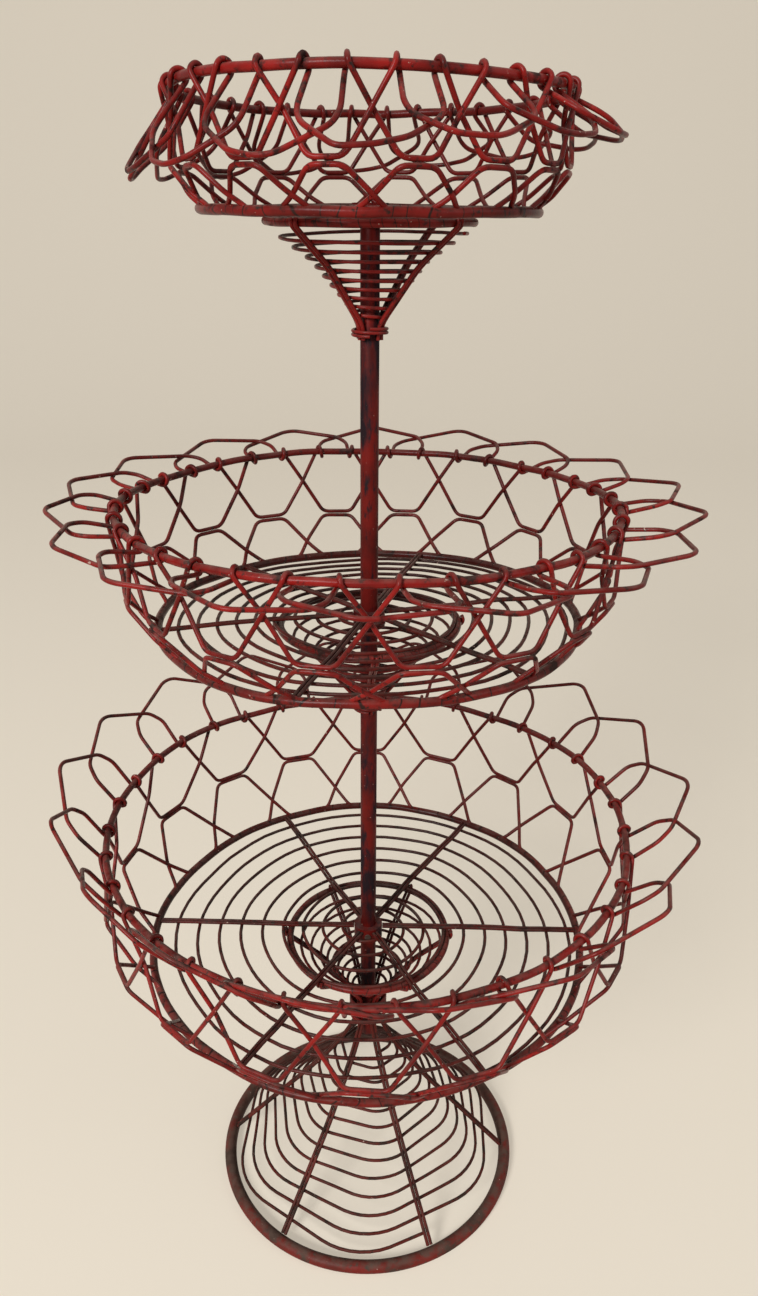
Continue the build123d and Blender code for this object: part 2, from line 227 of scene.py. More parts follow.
def linear(colour: str) -> tuple[float, float, float, float]:
    """Turn an sRGB hex colour into Blender's linear one.

    Args:
        colour: Six hex digits after a hash sign.

    Returns:
        Red, green, blue and an alpha of 1.
    """
    parts = [int(colour[place : place + 2], 16) / 255 for place in (1, 3, 5)]
    red, green, blue = [
        part / 12.92 if part <= 0.04045 else ((part + 0.055) / 1.055) ** 2.4 for part in parts
    ]
    return red, green, blue, 1.0


def pattern_scale(size: float) -> float:
    """Give a texture node's scale for a pattern of this size in millimetres."""
    return 1 / (size * MM)


def add_node(
    tree: bpy.types.NodeTree, kind: str, settings: dict | None = None, links: dict | None = None
) -> bpy.types.Node:
    """Add one shader node.

    Args:
        tree: The material's node tree.
        kind: The node's type.
        settings: Values for its own properties and its inputs, by name or number.
        links: Output sockets to join to its inputs, by name or number.

    Returns:
        The new node.
    """
    made = tree.nodes.new(kind)
    for key, value in (settings or {}).items():
        if isinstance(key, str) and hasattr(made, key):
            setattr(made, key, value)
        else:
            made.inputs[key].default_value = value
    for key, socket in (links or {}).items():
        tree.links.new(socket, made.inputs[key])
    return made


@dataclass(frozen=True)
class SpotEdge:
    """Noise levels where a spot starts and is full, and how ragged its edge is."""

    low: float
    high: float
    detail: float = 4.0


TONE_EDGE = SpotEdge(0.36, 0.62)
FLECK_EDGE = SpotEdge(0.56, 0.66, 6)
DUST_AND_HIGHLIGHT_EDGE = SpotEdge(0.35, 0.6, 6)
CHIP_EDGE = SpotEdge(0.70, 0.74, 3)


def spots(
    tree: bpy.types.NodeTree, places: bpy.types.NodeSocket, size: float, edge: SpotEdge
) -> bpy.types.NodeSocket:
    """Scatter soft-edged spots over a surface.

    Args:
        tree: The material's node tree.
        places: The coordinates that the spots lie in.
        size: Their size in millimetres.
        edge: Where they fade in.

    Returns:
        The socket that is 1 inside a spot and 0 outside.
    """
    field = add_node(
        tree,
        "ShaderNodeTexNoise",
        {"Scale": pattern_scale(size), "Detail": edge.detail, "Roughness": 0.62},
        {"Vector": places},
    )
    faded = add_node(
        tree,
        "ShaderNodeMapRange",
        {"From Min": edge.low, "From Max": edge.high},
        {"Value": field.outputs["Fac"]},
    )
    return faded.outputs["Result"]


def blend_colour(
    tree: bpy.types.NodeTree,
    share: bpy.types.NodeSocket,
    under: bpy.types.NodeSocket | str,
    over: str,
) -> bpy.types.NodeSocket:
    """Lay one colour over another where a share says.

    Args:
        tree: The material's node tree.
        share: 0 keeps the colour underneath, 1 covers it.
        under: The colour underneath, as a socket or sRGB hex.
        over: The colour on top, as sRGB hex.

    Returns:
        The blended colour's socket.
    """
    settings = {"data_type": "RGBA", 7: linear(over)}
    links = {0: share}
    if isinstance(under, str):
        settings[6] = linear(under)
    else:
        links[6] = under
    mixed = add_node(tree, "ShaderNodeMix", settings, links)
    return mixed.outputs[2]


@dataclass(frozen=True)
class OilPaint:
    """Old oil enamel brushed on iron wire: uneven, rubbed through in places, dusty on top with a
    painted highlight, and with painted shade on the faces turned inwards.
    """

    name: str
    coat: str
    shade: str
    bare: str
    # Pale colour on upward faces: dust, and partly a painted highlight on top; its share follows
    dust_and_highlight_colour: str
    wear_start: float
    dust_and_highlight_share: float
    # Painted shade on the faces turned towards the column: its colour and its share
    inside: str = "#300E0B"
    inward_shade_share: float = 0.85
    gloss_roughness: float = 0.32
    bare_roughness: float = 0.8
    tone_size: float = 34.0
    wear_size: float = 13.0
    wear_length: float = 1.0
    wear_fade: float = 0.09
    wear_detail: float = 8.0
    fleck_size: float = 4.2
    dust_and_highlight_size: float = 9.0
    grain_size: float = 1.1
    grain_depth: float = 0.25
    chip_size: float = 2.6
    chip: str = "#B89C8E"
    marks: int = 0
    mark_sway: float = 3.2
    mark_sway_size: float = 30.0

    def ring_marks(
        self, tree: bpy.types.NodeTree, places: bpy.types.NodeSocket
    ) -> bpy.types.NodeSocket:
        """Draw the thin dark joints between the turns of a wrapped hoop.

        Args:
            tree: The material's node tree.
            places: Object coordinates.

        Returns:
            The socket that is 1 on a joint and 0 between joints.
        """
        axes = add_node(tree, "ShaderNodeSeparateXYZ", links={0: places})
        turn = add_node(
            tree,
            "ShaderNodeMath",
            {"operation": "ARCTAN2"},
            {0: axes.outputs["X"], 1: axes.outputs["Y"]},
        )
        counted = add_node(
            tree,
            "ShaderNodeMath",
            {"operation": "MULTIPLY", 1: self.marks / tau},
            {0: turn.outputs[0]},
        )
        uneven = add_node(
            tree,
            "ShaderNodeTexNoise",
            {"Scale": pattern_scale(self.mark_sway_size), "Detail": 1.0},
            {"Vector": places},
        )
        spread = add_node(
            tree,
            "ShaderNodeMath",
            {"operation": "MULTIPLY_ADD", 1: self.mark_sway},
            {0: uneven.outputs["Fac"], 2: counted.outputs[0]},
        )
        wave = add_node(
            tree, "ShaderNodeMath", {"operation": "PINGPONG", 1: 0.5}, {0: spread.outputs[0]}
        )
        edge = add_node(
            tree,
            "ShaderNodeMapRange",
            {"From Min": 0.055, "From Max": 0.02},
            {"Value": wave.outputs[0]},
        )
        return edge.outputs["Result"]

    def painted_inward_shade(
        self,
        tree: bpy.types.NodeTree,
        places: bpy.types.NodeSocket,
        normal: bpy.types.NodeSocket,
    ) -> bpy.types.NodeSocket:
        """Find the faces turned towards the column, which get a painted shade.

        Args:
            tree: The material's node tree.
            places: Object coordinates.
            normal: The surface's normal.

        Returns:
            The socket that grows from 0 outside to the inside share.
        """
        level = add_node(
            tree, "ShaderNodeVectorMath", {"operation": "MULTIPLY", 1: (1.0, 1.0, 0.0)}, {0: places}
        )
        outward = add_node(
            tree, "ShaderNodeVectorMath", {"operation": "NORMALIZE"}, {0: level.outputs[0]}
        )
        facing = add_node(
            tree,
            "ShaderNodeVectorMath",
            {"operation": "DOT_PRODUCT"},
            {0: outward.outputs[0], 1: normal},
        )
        share = add_node(
            tree,
            "ShaderNodeMapRange",
            {"From Min": 0.15, "From Max": -0.6, "To Max": self.inward_shade_share},
            {"Value": facing.outputs["Value"]},
        )
        return share.outputs["Result"]

    def build(self) -> bpy.types.Material:
        """Make the material.

        Returns:
            The finished material.
        """
        material = bpy.data.materials.new(self.name)
        material.use_nodes = True
        tree = material.node_tree
        tree.nodes.clear()
        coordinates = add_node(tree, "ShaderNodeTexCoord")
        places = coordinates.outputs["Object"]
        normal = coordinates.outputs["Normal"]
        tone = spots(tree, places, self.tone_size, TONE_EDGE)
        colour = blend_colour(tree, tone, self.shade, self.coat)
        # Painted shade on the faces turned towards the column
        colour = blend_colour(tree, self.painted_inward_shade(tree, places, normal), colour, self.inside)
        drawn_out = add_node(
            tree, "ShaderNodeMapping", {"Scale": (1.0, 1.0, 1 / self.wear_length)}, {0: places}
        )
        wear_edge = SpotEdge(self.wear_start, self.wear_start + self.wear_fade, self.wear_detail)
        wear = spots(tree, drawn_out.outputs[0], self.wear_size, wear_edge)
        colour = blend_colour(tree, wear, colour, self.bare)
        flecks = spots(tree, drawn_out.outputs[0], self.fleck_size, FLECK_EDGE)
        colour = blend_colour(tree, flecks, colour, self.bare)
        # Paler on upward faces: dust, and partly a painted highlight from above
        facing = add_node(tree, "ShaderNodeSeparateXYZ", links={0: normal})
        upward = add_node(
            tree,
            "ShaderNodeMapRange",
            {"From Min": 0.15, "From Max": 1.0, "To Max": self.dust_and_highlight_share},
            {"Value": facing.outputs["Z"]},
        )
        dust_and_highlight = add_node(
            tree,
            "ShaderNodeMath",
            {"operation": "MULTIPLY"},
            {0: upward.outputs["Result"], 1: spots(tree, places, self.dust_and_highlight_size, DUST_AND_HIGHLIGHT_EDGE)},
        )
        colour = blend_colour(tree, dust_and_highlight.outputs[0], colour, self.dust_and_highlight_colour)
        chips = spots(tree, places, self.chip_size, CHIP_EDGE)
        colour = blend_colour(tree, chips, colour, self.chip)
        if self.marks:
            colour = blend_colour(tree, self.ring_marks(tree, places), colour, self.bare)
        roughness = add_node(
            tree,
            "ShaderNodeMapRange",
            {"To Min": self.gloss_roughness, "To Max": self.bare_roughness},
            {"Value": wear},
        )
        grain = add_node(
            tree,
            "ShaderNodeTexNoise",
            {"Scale": pattern_scale(self.grain_size), "Detail": 3.0},
            {"Vector": places},
        )
        relief = add_node(
            tree,
            "ShaderNodeBump",
            {"Strength": 0.35, "Distance": self.grain_depth * MM},
            {"Height": grain.outputs["Fac"]},
        )
        shader = add_node(
            tree,
            "ShaderNodeBsdfPrincipled",
            {"Metallic": 0.0, "IOR": 1.5, "Specular IOR Level": 0.13},
            {
                "Base Color": colour,
                "Roughness": roughness.outputs["Result"],
                "Normal": relief.outputs["Normal"],
            },
        )
        add_node(tree, "ShaderNodeOutputMaterial", links={"Surface": shader.outputs["BSDF"]})
        return material


# Wall wires and petals: the brightest coat outside, with the most handling wear
WALL_PAINT = OilPaint(
    "crimson_enamel_on_wire",
    coat="#901C18",
    shade="#5C120F",
    bare="#2A1613",
    dust_and_highlight_colour="#9C7B70",
    inside="#44110E",
    inward_shade_share=0.7,
    wear_start=0.565,
    dust_and_highlight_share=0.28,
)
# Cones: as red outside, with painted shade on the faces turned to the column
CONE_PAINT = OilPaint(
    "crimson_enamel_on_cones",
    coat="#861E1A",
    shade="#5A1411",
    bare="#291815",
    dust_and_highlight_colour="#8A7168",
    inside="#310F0C",
    inward_shade_share=0.75,
    wear_start=0.58,
    dust_and_highlight_share=0.32,
)
# Floors: a darker maroon than the walls
FLOOR_PAINT = OilPaint(
    "crimson_enamel_dark_maroon",
    coat="#611913",
    shade="#3A110D",
    bare="#261813",
    dust_and_highlight_colour="#8A7066",
    inside="#240D0A",
    wear_start=0.55,
    dust_and_highlight_share=0.26,
)
# Foot wires: enamel aged to brown
FOOT_PAINT = OilPaint(
    "crimson_enamel_browned",
    coat="#602019",
    shade="#401B15",
    bare="#30211B",
    dust_and_highlight_colour="#705B50",
    inside="#2A1712",
    inward_shade_share=0.6,
    wear_start=0.53,
    dust_and_highlight_share=0.22,
    gloss_roughness=0.5,
)
# Wrapped hoops: tight turns under thick paint, whose joints show as thin dark lines
HOOP_PAINT = OilPaint(
    "crimson_enamel_on_wrapping",
    coat="#7E1C18",
    shade="#531410",
    bare="#2D1A16",
    dust_and_highlight_colour="#927A6E",
    wear_start=0.57,
    dust_and_highlight_share=0.22,
    marks=52,
)
# Base hoop: crimson outside, rubbed to brown and grey on top, with a painted highlight there too
BASE_PAINT = OilPaint(
    "crimson_enamel_rubbed",
    coat="#7E221C",
    shade="#5A251E",
    bare="#493830",
    dust_and_highlight_colour="#614E44",
    inside="#443028",
    wear_start=0.50,
    dust_and_highlight_share=0.85,
    gloss_roughness=0.5,
    wear_size=24.0,
)
# Rod and collars: thick coats with long dark patches
ROD_PAINT = OilPaint(
    "crimson_enamel_on_rod",
    coat="#6E1611",
    shade="#46100D",
    bare="#211419",
    dust_and_highlight_colour="#86706A",
    wear_start=0.5,
    wear_size=20.0,
    wear_length=3.5,
    dust_and_highlight_share=0.25,
    inward_shade_share=0.0,
    gloss_roughness=0.42,
)
RIVET_STEEL = OilPaint(
    "tarnished_rivet_steel",
    coat="#4E3C35",
    shade="#33261F",
    bare="#231A16",
    dust_and_highlight_colour="#8A7A70",
    wear_start=0.6,
    dust_and_highlight_share=0.5,
    inward_shade_share=0.0,
)


@dataclass
class Workshop:
    """Finishes pieces: dresses them, seats them and retires the nodes that they stand for."""

    materials: dict[str, bpy.types.Material]

    def finish(
        self, piece: bpy.types.Object, paint: OilPaint, nodes: tuple[str, ...]
    ) -> None:
        """Finish one piece.

        Args:
            piece: The modelled mesh.
            paint: Its finish.
            nodes: The CAD nodes that it stands for.
        """
        piece.data.materials.clear()
        piece.data.materials.append(self.material(paint))
        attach(piece, BODY)
        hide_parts(*nodes)
        faces = len(piece.data.polygons)
        log.info("%s stands for %s, %d faces", piece.name, ", ".join(nodes), faces)

    def material(self, paint: OilPaint) -> bpy.types.Material:
        """Give a paint's material, made once."""
        if paint.name not in self.materials:
            self.materials[paint.name] = paint.build()
        return self.materials[paint.name]


@dataclass(frozen=True)
class Basket:
    """One tier's hoops, wall, petals, floor and cone.

    The lifts and the draw tell how the real petals depart from a perfect ring: degrees that they
    rise more at the back, on the right and at the front left, and millimetres that they are
    shorter on the right. The other shares are of the pitch from one cell to the next.
    """

    name: str
    floor_height: float
    floor_radius: float
    belt_height: float
    belt_radius: float
    rim_height: float
    rim_radius: float
    cells: int
    cell_azimuth: float
    petal_length: float
    petal_rise: float
    floor_turns: float
    spoke_azimuth: float
    cone_azimuth: float
    cone_pairs: int
    rib_radius: float
    rib_bottom: float
    lean: float = 0.0
    floor_lean: float = 0.0
    back_lift: float = 0.0
    right_lift: float = 0.0
    left_front_lift: float = 0.0
    right_draw: float = 0.0
    pointed: bool = True
    wall_wire: float = 2.6
    floor_wire: float = 2.3
    cone_wire: float = 2.1
    spoke_pairs: int = 6
    spoke_wire: float = 2.2
    rib_wire: float = 2.3
    rim_wire: float = 4.4
    floor_hoop_wire: float = 5.2
    ring_wire: float = 4.8
    ring_radius: float = 54.0
    ring_drop: float = 5.34
    spiral_drop: float = 1.41
    shoulder_depth: float = 9.0
    knee_radius: float = 33.0
    knee_depth: float = 26.0
    hub_turns: int = 3
    hub_end_radius: float = 13.2
    collar_depth: float = 57.0
    cone_turns: float = 9.0
    cone_top_depth: float = 10.5
    cone_foot_depth: float = 53.0
    cone_start: float = 18.0
    hub_diameter: float = 19.2

    @property
    def pitch(self) -> float:
        """Degrees from one cell to the next."""
        return 360 / self.cells

    @property
    def weave(self) -> float:
        """How far a crossing wire stands off the wall's middle."""
        return self.wall_wire / 2 + 1.5 * SEAT

    @property
    def hook(self) -> float:
        """Radius of a wall wire's turn round the rim hoop."""
        return (self.rim_wire + self.wall_wire) / 2 + SEAT

    def place(self, share: float, radius: float, height: float) -> Vector:
        """Place a point by its share of the pitch from the first cell."""
        return polar(radius, self.cell_azimuth + share * self.pitch, height)

    def hung(self, route: Route) -> Route:
        """Hang a route as the basket hangs: leaning on its hub, and bent by hand.

        Args:
            route: The line of a perfect basket's wire.

        Returns:
            The line with the lean, which fades out towards the column.
        """
        points = []
        for point in route.points:
            free = between(12.0, 50.0, hypot(point.x, point.y))
            lean = self.lean + self.floor_lean * (
                1 - between(self.floor_height + 4, self.rim_height - 4, point.z)
            )
            points.append(point + Vector((0, 0, lean * point.y * free)))
        return Route(points, route.closed).bent()

    def circle(self, radius: float, height: float) -> Route:
        """Give a round hoop's centre line."""
        steps = 144
        points = [polar(radius, 360 * number / steps, height) for number in range(steps)]
        return self.hung(Route(points, closed=True))

    def rim_turn(self, angle: float, share: float) -> Vector:
        """Place a point of a wire's turn round the rim, from outside (0) over the top (90)."""
        turn = radians(angle)
        radius = self.rim_radius + self.hook * cos(turn)
        return self.place(share, radius, self.rim_height + self.hook * sin(turn))

    def petal_point(self, share: float, length: float, lift: float) -> Vector:
        """Place a petal's point.

        Args:
            share: Place along the rim.
            length: Distance out along the flare.
            lift: Distance above the flare's middle.

        Returns:
            The point, in millimetres.
        """
        azimuth = radians(self.cell_azimuth + share * self.pitch)
        left_front = max(0.0, cos(azimuth + radians(60)))
        lift_here = self.back_lift * (1 - cos(azimuth)) / 2
        lift_here += self.right_lift * sin(azimuth)
        lift_here += self.left_front_lift * left_front**2
        rise = radians(self.petal_rise + lift_here)
        length -= self.right_draw * sin(azimuth) * length / self.petal_length
        above = lift - self.hook
        radius = self.rim_radius + length * cos(rise) - above * sin(rise)
        return self.place(share, radius, self.rim_height + length * sin(rise) + above * cos(rise))

    def petal_corners(self, petal: float) -> list[Vector]:
        """Give the corners of one petal, each one bent a little differently by hand.

        Args:
            petal: Its middle, in cells.

        Returns:
            The corners from its first leg to its second.
        """
        hand = noise.noise_vector(Vector((petal * 2.3, self.floor_height / 40, 0.4)))
        length = self.petal_length
        weave = self.weave
        if self.pointed:
            tip = petal + hand.x * 0.12
            tip_length = length + 1.5 + hand.y * 3
            places = (
                (petal - 0.69, length * 0.45, weave),
                (petal - 0.59, length * 0.66 + hand.z * 3, weave),
                (tip - 0.08, tip_length, weave / 4),
                (tip + 0.03, tip_length, 0),
                (petal + 0.58, length * 0.67 + hand.x * 3, -weave),
                (petal + 0.68, length * 0.45, -weave / 2),
            )
        else:
            places = (
                (petal - 0.71, length * 0.5, weave),
                (petal - 0.65, length * 0.64 + hand.z * 3, weave),
                (petal - 0.27 + hand.x * 0.12, length - 1 + hand.y * 4, weave / 2),
                (petal + hand.z * 0.08, length + 1, 0),
                (petal + 0.23 + hand.y * 0.12, length - 1 + hand.x * 4, -weave / 2),
                (petal + 0.63, length * 0.65 + hand.x * 3, -weave),
                (petal + 0.70, length * 0.5, -weave / 2),
            )
        return [self.petal_point(*place) for place in places]

    def wall_and_petal(self, cell: int) -> list[Vector]:
        """Give the corners of one period of the long wall wire.

        The wire lies along the belt, climbs past its neighbour, turns once round the rim, bends
        out into a petal, and comes back the same way to the belt three cells on.

        Args:
            cell: Number of the cell that the period starts in.

        Returns:
            The corners, up to the next period's start.
        """
        belt = self.belt_height + self.wall_wire / 2 + SEAT
        weave = self.weave
        climb = (CROSSING - BELT_END) / (RIM_LEG_END - BELT_END)
        crossing_height = belt + climb * (self.rim_height - belt)
        crossing_radius = self.belt_radius + climb * (self.rim_radius - self.belt_radius)
        last_turn = self.petal_rise + 270
        turns = [last_turn * step / 9 for step in range(10)]
        slips = [RIM_TURN_START + RIM_TURN_SLIP * angle / last_turn for angle in turns]
        end = cell + PERIOD
        corners = [
            self.place(cell + BELT_END, self.belt_radius + weave / 2, belt),
            self.place(cell + CROSSING, crossing_radius + weave, crossing_height),
        ]
        corners += [self.rim_turn(angle, cell + slip) for angle, slip in zip(turns, slips)]
        corners += self.petal_corners(cell + PETAL_MIDDLE)
        corners += [self.rim_turn(angle, end - slip) for angle, slip in zip(turns, slips)][::-1]
        corners += [
            self.place(end - CROSSING, crossing_radius - weave, crossing_height),
            self.place(end - BELT_END, self.belt_radius - weave / 2, belt),
        ]
        return corners

    def woven_routes(self) -> list[Route]:
        """Give the long wall wires, each closed on itself after its last petal."""
        wires = gcd(PERIOD, self.cells)
        periods = self.cells // wires
        routes = []
        for start in range(wires):
            corners = []
            for period in range(periods):
                corners += self.wall_and_petal(start + PERIOD * period)
            routes.append(self.hung(rounded(corners, WALL_BEND, closed=True)))
        return routes

    def lower_routes(self) -> list[Route]:
        """Give the lower wall wires, whose ends are bound into the top of the floor hoop."""
        belt = self.belt_height - self.wall_wire / 2 - SEAT
        fall = (CROSSING - BELT_END) / (FLOOR_LEG_END - BELT_END)
        height = belt + fall * (self.floor_height - belt)
        radius = self.belt_radius + fall * (self.floor_radius - self.belt_radius)
        routes = []
        for cell in range(self.cells):
            arms = []
            for side in (-1, 1):
                weave = side * self.weave
                places = (
                    (BELT_END, self.belt_radius + weave / 2, belt),
                    (CROSSING, radius + weave * 1.2, height + weave / 2),
                    (FLOOR_TURN, self.floor_radius, self.floor_height + 2),
                    (FLOOR_END, self.floor_radius, self.floor_height),
                )
                arms.append(
                    [self.place(cell + side * share, out, up) for share, out, up in places]
                )
            routes.append(self.hung(rounded(arms[0][::-1] + arms[1], WALL_BEND)))
        return routes

    def floor_route(self) -> Route:
        """Give the floor's flat spiral, from the hoop over the support ring to the hub.

        It is drawn in a little midway between the three pairs of spokes that it is tied to.
        """
        outer = self.floor_radius - (self.floor_hoop_wire + self.floor_wire) / 2 - 2 * SEAT
        height = self.floor_height - self.spiral_drop
        steps = 72
        points = []
        for number in range(round((self.floor_turns + self.hub_turns) * steps) + 1):
            turn = number / steps
            azimuth = self.spoke_azimuth + 360 * turn
            flat = 0.012 * sin(radians(3 * (azimuth - self.spoke_azimuth))) ** 2
            if turn < self.floor_turns:
                radius = outer + (self.ring_radius - outer) * turn / self.floor_turns
            else:
                share = (turn - self.floor_turns) / self.hub_turns
                radius = self.ring_radius + (self.hub_end_radius - self.ring_radius) * share
            points.append(polar(radius * (1 - flat), azimuth, height))
        return self.hung(Route(points))

    def cone_radius(self, depth: float) -> float:
        """Give the wound wire's distance from the axis at a depth, just inside the ribs."""
        inside = (self.rib_wire + self.cone_wire) / 2 + 2.5 * SEAT
        shoulder = self.ring_radius + (self.ring_wire + self.rib_wire) / 2
        lines = (
            (self.knee_radius, self.knee_depth, shoulder, self.shoulder_depth),
            (self.knee_radius, self.knee_depth, self.rib_radius, self.collar_depth),
        )
        radii = []
        for knee_radius, knee_depth, end_radius, end_depth in lines:
            slope = (end_radius - knee_radius) / (end_depth - knee_depth)
            line = knee_radius + slope * (depth - knee_depth)
            radii.append(line - inside * hypot(1, slope))
        return max(radii)

    def cone_route(self) -> Route:
        """Give the cone's wound wire."""
        steps = 36
        count = round(self.cone_turns * steps)
        fall = self.cone_foot_depth - self.cone_top_depth
        points = []
        for number in range(count + 1):
            depth = self.cone_top_depth + fall * number / count
            azimuth = self.cone_azimuth + self.cone_start + 360 * number / steps
            points.append(polar(self.cone_radius(depth), azimuth, self.floor_height - depth))
        return self.hung(Route(points))

    def pairs(self, count: int, first: float, corners: list[Vector], gauge: float) -> list[Route]:
        """Lay pairs of wires side by side round the column.

        Args:
            count: How many pairs.
            first: Azimuth of the first pair.
            corners: The wire's corners as radius, nothing and height.
            gauge: The wire's diameter.

        Returns:
            One route a wire.
        """
        routes = []
        for number in range(count):
            turn = Matrix.Rotation(radians(first + 360 * number / count), 3, "Z")
            for aside in (-gauge / 2 - SEAT, gauge / 2 + SEAT):
                line = [turn @ Vector((aside, -corner.x, corner.z)) for corner in corners]
                routes.append(self.hung(rounded(line, PAIR_BEND)))
        return routes

    def spoke_routes(self) -> list[Route]:
        """Give the floor spokes, from the hub to the floor hoop."""
        height = self.floor_height + self.spoke_wire / 2 + SEAT
        inner = self.hub_diameter / 2 + 2 * SEAT
        outer = self.floor_radius - self.floor_hoop_wire / 2 + 0.4
        steps = 6
        corners = [
            Vector((inner + (outer - inner) * step / steps, 0, height)) for step in range(steps + 1)
        ]
        return self.pairs(self.spoke_pairs, self.spoke_azimuth, corners, self.spoke_wire)

    def rib_routes(self) -> list[Route]:
        """Give the cone's ribs, which lap over the support ring's outer face and hold the turns."""
        lap = (self.ring_wire + self.rib_wire) / 2 + SEAT
        ring_height = self.floor_height - self.ring_drop
        corners = []
        for angle in (38, 12, -14, -38):
            turn = radians(angle)
            corners.append(
                Vector((self.ring_radius + lap * cos(turn), 0, ring_height + lap * sin(turn)))
            )
        corners += [
            Vector((self.knee_radius, 0, self.floor_height - self.knee_depth)),
            Vector((self.rib_radius, 0, self.floor_height - self.collar_depth)),
            Vector((self.rib_radius, 0, self.rib_bottom)),
        ]
        return self.pairs(self.cone_pairs, self.cone_azimuth, corners, self.rib_wire)

    def build(self, shop: Workshop) -> None:
        """Make the tier's pieces.

        Args:
            shop: Finishes each piece.
        """
        tier = self.name
        rim = draw(
            f"{tier}_rim",
            [self.circle(self.rim_radius, self.rim_height)],
            self.rim_wire,
            Facets.THICK,
        )
        shop.finish(rim, WALL_PAINT, (f"{tier}_rim_hoop",))
        woven = draw(f"{tier}_wall_and_petals", self.woven_routes(), self.wall_wire, Facets.THIN)
        shop.finish(woven, WALL_PAINT, (f"{tier}_upper_wires", f"{tier}_petals"))
        lower = draw(f"{tier}_lower_wall", self.lower_routes(), self.wall_wire, Facets.THIN)
        shop.finish(lower, WALL_PAINT, (f"{tier}_lower_wires",))
        hoop = draw(
            f"{tier}_floor_edge",
            [self.circle(self.floor_radius, self.floor_height)],
            self.floor_hoop_wire,
            Facets.THICK,
        )
        shop.finish(hoop, HOOP_PAINT, (f"{tier}_floor_hoop",))
        spiral = draw(f"{tier}_floor", [self.floor_route()], self.floor_wire, Facets.THIN)
        shop.finish(spiral, FLOOR_PAINT, (f"{tier}_floor_spiral",))
        spokes = draw(f"{tier}_floor_spokes", self.spoke_routes(), self.spoke_wire, Facets.THIN)
        shop.finish(spokes, FLOOR_PAINT, (f"{tier}_spokes",))
        ring = draw(
            f"{tier}_cone_ring",
            [self.circle(self.ring_radius, self.floor_height - self.ring_drop)],
            self.ring_wire,
            Facets.THICK,
        )
        shop.finish(ring, HOOP_PAINT, (f"{tier}_support_ring",))
        cone = draw(f"{tier}_cone", [self.cone_route()], self.cone_wire, Facets.THIN)
        shop.finish(cone, CONE_PAINT, (f"{tier}_cone_spiral",))
        ribs = draw(f"{tier}_ribs", self.rib_routes(), self.rib_wire, Facets.THIN)
        shop.finish(ribs, CONE_PAINT, (f"{tier}_cone_ribs",))


BOTTOM = Basket(
    name="bottom",
    floor_height=205,
    floor_radius=146,
    belt_height=241,
    belt_radius=172,
    rim_height=294,
    rim_radius=168,
    cells=18,
    cell_azimuth=0,
    petal_length=48,
    petal_rise=42,
    left_front_lift=16,
    floor_turns=6,
    spoke_azimuth=28,
    cone_azimuth=28,
    cone_pairs=6,
    rib_radius=9.91,
    rib_bottom=128,
    lean=0.042,
)
MIDDLE = Basket(
    name="middle",
    floor_height=438,
    floor_radius=125,
    belt_height=463.5,
    belt_radius=143.5,
    rim_height=507,
    rim_radius=144,
    cells=18,
    cell_azimuth=10,
    petal_length=40,
    petal_rise=4,
    floor_turns=6,
    spoke_azimuth=43,
    cone_azimuth=3,
    cone_pairs=4,
    rib_radius=6.94,
    rib_bottom=373.5,
    back_lift=12,
    right_draw=-4,
)
TOP = Basket(
    name="top",
    floor_height=663,
    floor_radius=87,
    belt_height=682.5,
    belt_radius=100.5,
    rim_height=717,
    rim_radius=100,
    cells=16,
    cell_azimuth=11.25,
    petal_length=39,
    petal_rise=-43,
    floor_turns=3,
    spoke_azimuth=28,
    cone_azimuth=50,
    cone_pairs=4,
    rib_radius=6.94,
    rib_bottom=598.5,
    floor_lean=0.02,
    right_lift=12,
    right_draw=5,
    pointed=False,
    cone_wire=1.9,
    ring_wire=4.3,
)


@dataclass(frozen=True)
class Column:
    """The post, the two rods and the tight coils that bind the ribs to them.

    A rod is given as its node, its lower and its upper end, and a coil as its node, its radius,
    its top and its number of turns.
    """

    rod_diameter: float = 10.5
    thin_wire: float = 1.8
    coil_pitch: float = 2.0
    rods: tuple[tuple[str, float, float], ...] = (
        ("foot_post", 112, 201),
        ("lower_rod", 201, 434),
        ("upper_rod", 434, 664),
    )
    coils: tuple[tuple[str, float, float, int], ...] = (
        ("neck_binding", 12.4, 145.5, 5),
        ("neck_foot_binding", 12.4, 133.0, 2),
        ("middle_cone_binding", 9.4, 379.6, 2),
        ("top_cone_binding", 9.4, 604.6, 2),
    )

    def rod(self, name: str, low: float, high: float) -> bpy.types.Object:
        """Turn one length of rod, with its ends eased.

        Args:
            name: Name of the piece.
            low: Height of its lower end.
            high: Height of its upper end.

        Returns:
            The mesh object.
        """
        bpy.ops.object.select_all(action="DESELECT")
        bpy.ops.mesh.primitive_cylinder_add(
            vertices=48,
            radius=self.rod_diameter / 2 * MM,
            depth=(high - low) * MM,
            location=(0, 0, (low + high) / 2 * MM),
        )
        piece = bpy.context.object
        piece.name = name
        bevel = piece.modifiers.new("eased_ends", "BEVEL")
        bevel.width = 0.6 * MM
        bevel.segments = 3
        bpy.ops.object.modifier_apply(modifier=bevel.name)
        bpy.ops.object.transform_apply(location=True, rotation=True, scale=True)
        bpy.ops.object.shade_smooth_by_angle(angle=radians(40))
        return piece

    def coil(self, radius: float, top: float, turns: int) -> Route:
        """Wind a tight coil down the column."""
        steps = 36
        points = [
            polar(radius, 360 * number / steps, top - self.coil_pitch * number / steps)
            for number in range(turns * steps + 1)
        ]
        return Route(points)

    def build(self, shop: Workshop) -> None:
        """Make the column's pieces."""
        for name, low, high in self.rods:
            shop.finish(self.rod(f"{name}_turned", low, high), ROD_PAINT, (name,))
        for name, radius, top, turns in self.coils:
            route = self.coil(radius, top, turns)
            coil = draw(f"{name}_coil", [route], self.thin_wire, Facets.THIN)
            shop.finish(coil, CONE_PAINT, (name,))


